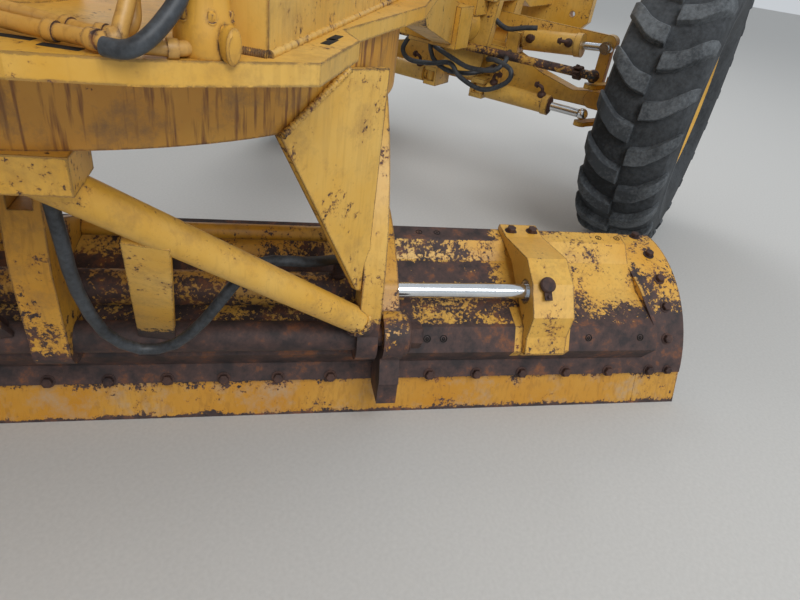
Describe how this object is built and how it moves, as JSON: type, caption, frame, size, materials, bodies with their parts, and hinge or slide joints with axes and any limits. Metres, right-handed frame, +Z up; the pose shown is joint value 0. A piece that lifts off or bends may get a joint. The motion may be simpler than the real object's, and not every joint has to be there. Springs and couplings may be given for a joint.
{
  "type": "motor grader",
  "caption": "Motor grader with articulated frame, turning circle, side-shifting blade, leaning steered front wheels, tandem rear wheels and a cab with doors.",
  "frame": {"origin": "on the ground under the middle of the bounding box", "axes": "+X forward, +Y to the driver's left, +Z up; the wheels stand on z = 0"},
  "size_m": [8.7, 2.9972, 3.35],
  "materials": {
    "paint": "faded and worn paint",
    "paint_dark": "matt dark paint",
    "steel_worn": "bare steel with brown rust",
    "rod": "polished",
    "tyre": "dusty rubber",
    "glass": "clear",
    "fabric": "matt",
    "plastic": "matt",
    "hose": "dusty",
    "edge_steel": "ground bright by use, with rust"
  },
  "bodies": {
    "front_frame": {"frame": "paint", "push_plate": "paint", "front_axle": "paint", "cab_floor": "paint", "cab_front": "paint", "cab_rear": "paint", "cab_sides": "paint", "cab_roof": "paint", "cab_glass": "glass", "seat": "fabric", "controls": "plastic", "access": "paint", "lamps": "paint", "drawbar_race": "steel_worn", "axle_hose": "hose"},
    "rear_body": {"rear_frame": "paint", "hood": "paint", "engine": "paint_dark", "tandems": "paint", "rear_fittings": "paint_dark"},
    "wheel_front_left": {"wheel_front_left": "tyre"},
    "wheel_front_right": {"wheel_front_right": "tyre"},
    "wheel_mid_left": {"wheel_mid_left": "tyre"},
    "wheel_mid_right": {"wheel_mid_right": "tyre"},
    "wheel_rear_left": {"wheel_rear_left": "tyre"},
    "wheel_rear_right": {"wheel_rear_right": "tyre"},
    "lean_yoke_left": {"lean_yoke_left": "paint"},
    "lean_yoke_right": {"lean_yoke_right": "paint"},
    "knuckle_left": {"knuckle_left": "paint"},
    "knuckle_right": {"knuckle_right": "paint"},
    "tie_rod": {"tie_rod": "steel_worn"},
    "lean_bar": {"lean_bar": "paint"},
    "lean_barrel": {"lean_barrel": "paint"},
    "lean_rod": {"lean_rod": "rod"},
    "steer_barrel_left": {"steer_barrel_left": "paint"},
    "steer_barrel_right": {"steer_barrel_right": "paint"},
    "steer_rod_left": {"steer_rod_left": "rod"},
    "steer_rod_right": {"steer_rod_right": "rod"},
    "drawbar": {"drawbar": "paint"},
    "circle": {"circle": "paint", "blade_arms": "paint", "blade_hose": "hose"},
    "cradle": {"cradle": "paint", "side_barrel": "steel_worn"},
    "moldboard": {"moldboard": "paint", "cutting_edge": "edge_steel", "side_rod": "rod"},
    "tip_barrel": {"tip_barrel": "steel_worn"},
    "tip_rod": {"tip_rod": "rod"},
    "lift_barrel_left": {"lift_barrel_left": "paint"},
    "lift_barrel_right": {"lift_barrel_right": "paint"},
    "lift_rod_left": {"lift_rod_left": "rod"},
    "lift_rod_right": {"lift_rod_right": "rod"},
    "shift_barrel": {"shift_barrel": "paint"},
    "shift_rod": {"shift_rod": "rod"},
    "door_left": {"door_left": "paint"},
    "door_right": {"door_right": "paint"}
  },
  "joints": [
    {"name": "articulation", "type": "hinge", "parent": "front_frame", "child": "rear_body", "pos_m": [-0.8, 0.07736, 1.1], "axis": [0, 0, 1], "range_deg": [-20, 20]},
    {"name": "lean_left", "type": "hinge", "parent": "front_frame", "child": "lean_yoke_left", "pos_m": [3.58, 0.79236, 0.64], "axis": [1, 0, 0], "range_deg": [-18, 18]},
    {"name": "steer_left", "type": "hinge", "parent": "lean_yoke_left", "child": "knuckle_left", "pos_m": [3.58, 0.87736, 0.64], "axis": [0, 0, 1], "range_deg": [-45, 45]},
    {"name": "spin_front_left", "type": "hinge", "parent": "knuckle_left", "child": "wheel_front_left", "pos_m": [3.58, 1.12736, 0.69], "axis": [0, 1, 0], "continuous": true},
    {"name": "spin_mid_left", "type": "hinge", "parent": "rear_body", "child": "wheel_mid_left", "pos_m": [-1.75, 1.12736, 0.69], "axis": [0, 1, 0], "continuous": true},
    {"name": "spin_rear_left", "type": "hinge", "parent": "rear_body", "child": "wheel_rear_left", "pos_m": [-3.29, 1.12736, 0.69], "axis": [0, 1, 0], "continuous": true},
    {"name": "lean_right", "type": "hinge", "parent": "front_frame", "child": "lean_yoke_right", "pos_m": [3.58, -0.63764, 0.64], "axis": [1, 0, 0], "range_deg": [-18, 18]},
    {"name": "steer_right", "type": "hinge", "parent": "lean_yoke_right", "child": "knuckle_right", "pos_m": [3.58, -0.72264, 0.64], "axis": [0, 0, 1], "range_deg": [-45, 45]},
    {"name": "spin_front_right", "type": "hinge", "parent": "knuckle_right", "child": "wheel_front_right", "pos_m": [3.58, -0.97264, 0.69], "axis": [0, 1, 0], "continuous": true},
    {"name": "spin_mid_right", "type": "hinge", "parent": "rear_body", "child": "wheel_mid_right", "pos_m": [-1.75, -0.97264, 0.69], "axis": [0, 1, 0], "continuous": true},
    {"name": "spin_rear_right", "type": "hinge", "parent": "rear_body", "child": "wheel_rear_right", "pos_m": [-3.29, -0.97264, 0.69], "axis": [0, 1, 0], "continuous": true},
    {"name": "tie_rod_travel", "type": "slide", "parent": "front_frame", "child": "tie_rod", "axis": [0, 1, 0], "range_m": [-0.15, 0.15]},
    {"name": "lean_bar_travel", "type": "slide", "parent": "front_frame", "child": "lean_bar", "axis": [0, 1, 0], "range_m": [-0.09, 0.09]},
    {"name": "lean_barrel_swing", "type": "hinge", "parent": "front_frame", "child": "lean_barrel", "pos_m": [3.57, -0.15764, 0.835], "axis": [1, 0, 0], "range_deg": [-1, 1]},
    {"name": "lean_rod_stroke", "type": "slide", "parent": "lean_barrel", "child": "lean_rod", "axis": [0, -0.9954, 0.0963], "range_m": [-0.08, 0.08]},
    {"name": "steer_barrel_swing_left", "type": "hinge", "parent": "front_frame", "child": "steer_barrel_left", "pos_m": [3.4, 0.22736, 0.5857], "axis": [0, 0, 1], "range_deg": [-8, 8]},
    {"name": "steer_rod_stroke_left", "type": "slide", "parent": "steer_barrel_left", "child": "steer_rod_left", "axis": [0, 1, 0], "range_m": [-0.15, 0.15]},
    {"name": "steer_barrel_swing_right", "type": "hinge", "parent": "front_frame", "child": "steer_barrel_right", "pos_m": [3.4, -0.07264, 0.5857], "axis": [0, 0, 1], "range_deg": [-8, 8]},
    {"name": "steer_rod_stroke_right", "type": "slide", "parent": "steer_barrel_right", "child": "steer_rod_right", "axis": [0, -1, 0], "range_m": [-0.15, 0.15]},
    {"name": "drawbar_lift", "type": "hinge", "parent": "front_frame", "child": "drawbar", "pos_m": [3.27, 0.07736, 0.88], "axis": [0, 1, 0], "range_deg": [-10, 8]},
    {"name": "circle_turn", "type": "hinge", "parent": "drawbar", "child": "circle", "pos_m": [1.25, 0.07736, 1], "axis": [0, 0, 1], "continuous": true},
    {"name": "blade_tip", "type": "hinge", "parent": "circle", "child": "cradle", "pos_m": [0.96835, -0.17624, 0.337], "axis": [0.6691, -0.7431, 0], "range_deg": [0, 24]},
    {"name": "side_shift", "type": "slide", "parent": "cradle", "child": "moldboard", "axis": [0.6691, -0.7431, 0], "range_m": [-0.3, 0.6]},
    {"name": "tip_barrel_swing", "type": "hinge", "parent": "circle", "child": "tip_barrel", "pos_m": [1.64125, 0.50365, 0.955], "axis": [0.6691, -0.7431, 0], "range_deg": [0, 1.6]},
    {"name": "tip_rod_stroke", "type": "slide", "parent": "tip_barrel", "child": "tip_rod", "axis": [-0.7322, -0.6593, -0.1711], "range_m": [0, 0.19]},
    {"name": "lift_barrel_swing_left", "type": "hinge", "parent": "front_frame", "child": "lift_barrel_left", "pos_m": [1.31, 0.75536, 2.18], "axis": [0, 1, 0], "range_deg": [-3, 3]},
    {"name": "lift_rod_stroke_left", "type": "slide", "parent": "lift_barrel_left", "child": "lift_rod_left", "axis": [-0.2397, 0, -0.9708], "range_m": [-0.32, 0.4]},
    {"name": "lift_barrel_swing_right", "type": "hinge", "parent": "front_frame", "child": "lift_barrel_right", "pos_m": [1.31, -0.60064, 2.18], "axis": [0, 1, 0], "range_deg": [-3, 3]},
    {"name": "lift_rod_stroke_right", "type": "slide", "parent": "lift_barrel_right", "child": "lift_rod_right", "axis": [-0.2397, 0, -0.9708], "range_m": [-0.32, 0.4]},
    {"name": "shift_barrel_swing", "type": "hinge", "parent": "front_frame", "child": "shift_barrel", "pos_m": [1.6, 0.32736, 1.47], "axis": [1, 0, 0], "range_deg": [-16, 19.5]},
    {"name": "shift_rod_stroke", "type": "slide", "parent": "shift_barrel", "child": "shift_rod", "axis": [0, -0.9473, -0.3202], "range_m": [-0.09, 0.11]},
    {"name": "door_left", "type": "hinge", "parent": "front_frame", "child": "door_left", "pos_m": [-0.342, 0.84136, 2.6], "axis": [0, 0, 1], "range_deg": [0, 90]},
    {"name": "door_right", "type": "hinge", "parent": "front_frame", "child": "door_right", "pos_m": [-0.342, -0.68664, 2.6], "axis": [0, 0, 1], "range_deg": [-90, 0]}
  ],
  "couplings": [
    {"joint": "lean_right", "follows": "lean_left", "ratio": 1},
    {"joint": "steer_right", "follows": "steer_left", "ratio": 1},
    {"joint": "tie_rod_travel", "follows": "steer_left", "m_per_rad": -0.18},
    {"joint": "lean_bar_travel", "follows": "lean_left", "m_per_rad": -0.26},
    {"joint": "lean_barrel_swing", "follows": "lean_left", "ratio": 0.01},
    {"joint": "lean_rod_stroke", "follows": "lean_left", "m_per_rad": 0.208},
    {"joint": "steer_barrel_swing_left", "follows": "steer_left", "ratio": -0.15},
    {"joint": "steer_rod_stroke_left", "follows": "steer_left", "m_per_rad": -0.18},
    {"joint": "steer_barrel_swing_right", "follows": "steer_left", "ratio": -0.15},
    {"joint": "steer_rod_stroke_right", "follows": "steer_left", "m_per_rad": 0.18},
    {"joint": "tip_barrel_swing", "follows": "blade_tip", "ratio": 0.045},
    {"joint": "tip_rod_stroke", "follows": "blade_tip", "m_per_rad": 0.436},
    {"joint": "lift_barrel_swing_left", "follows": "drawbar_lift", "ratio": 0.23},
    {"joint": "lift_rod_stroke_left", "follows": "drawbar_lift", "m_per_rad": -2.205},
    {"joint": "lift_barrel_swing_right", "follows": "drawbar_lift", "ratio": 0.23},
    {"joint": "lift_rod_stroke_right", "follows": "drawbar_lift", "m_per_rad": -2.205},
    {"joint": "shift_barrel_swing", "follows": "drawbar_lift", "ratio": -1.88},
    {"joint": "shift_rod_stroke", "follows": "drawbar_lift", "m_per_rad": -0.59}
  ]
}
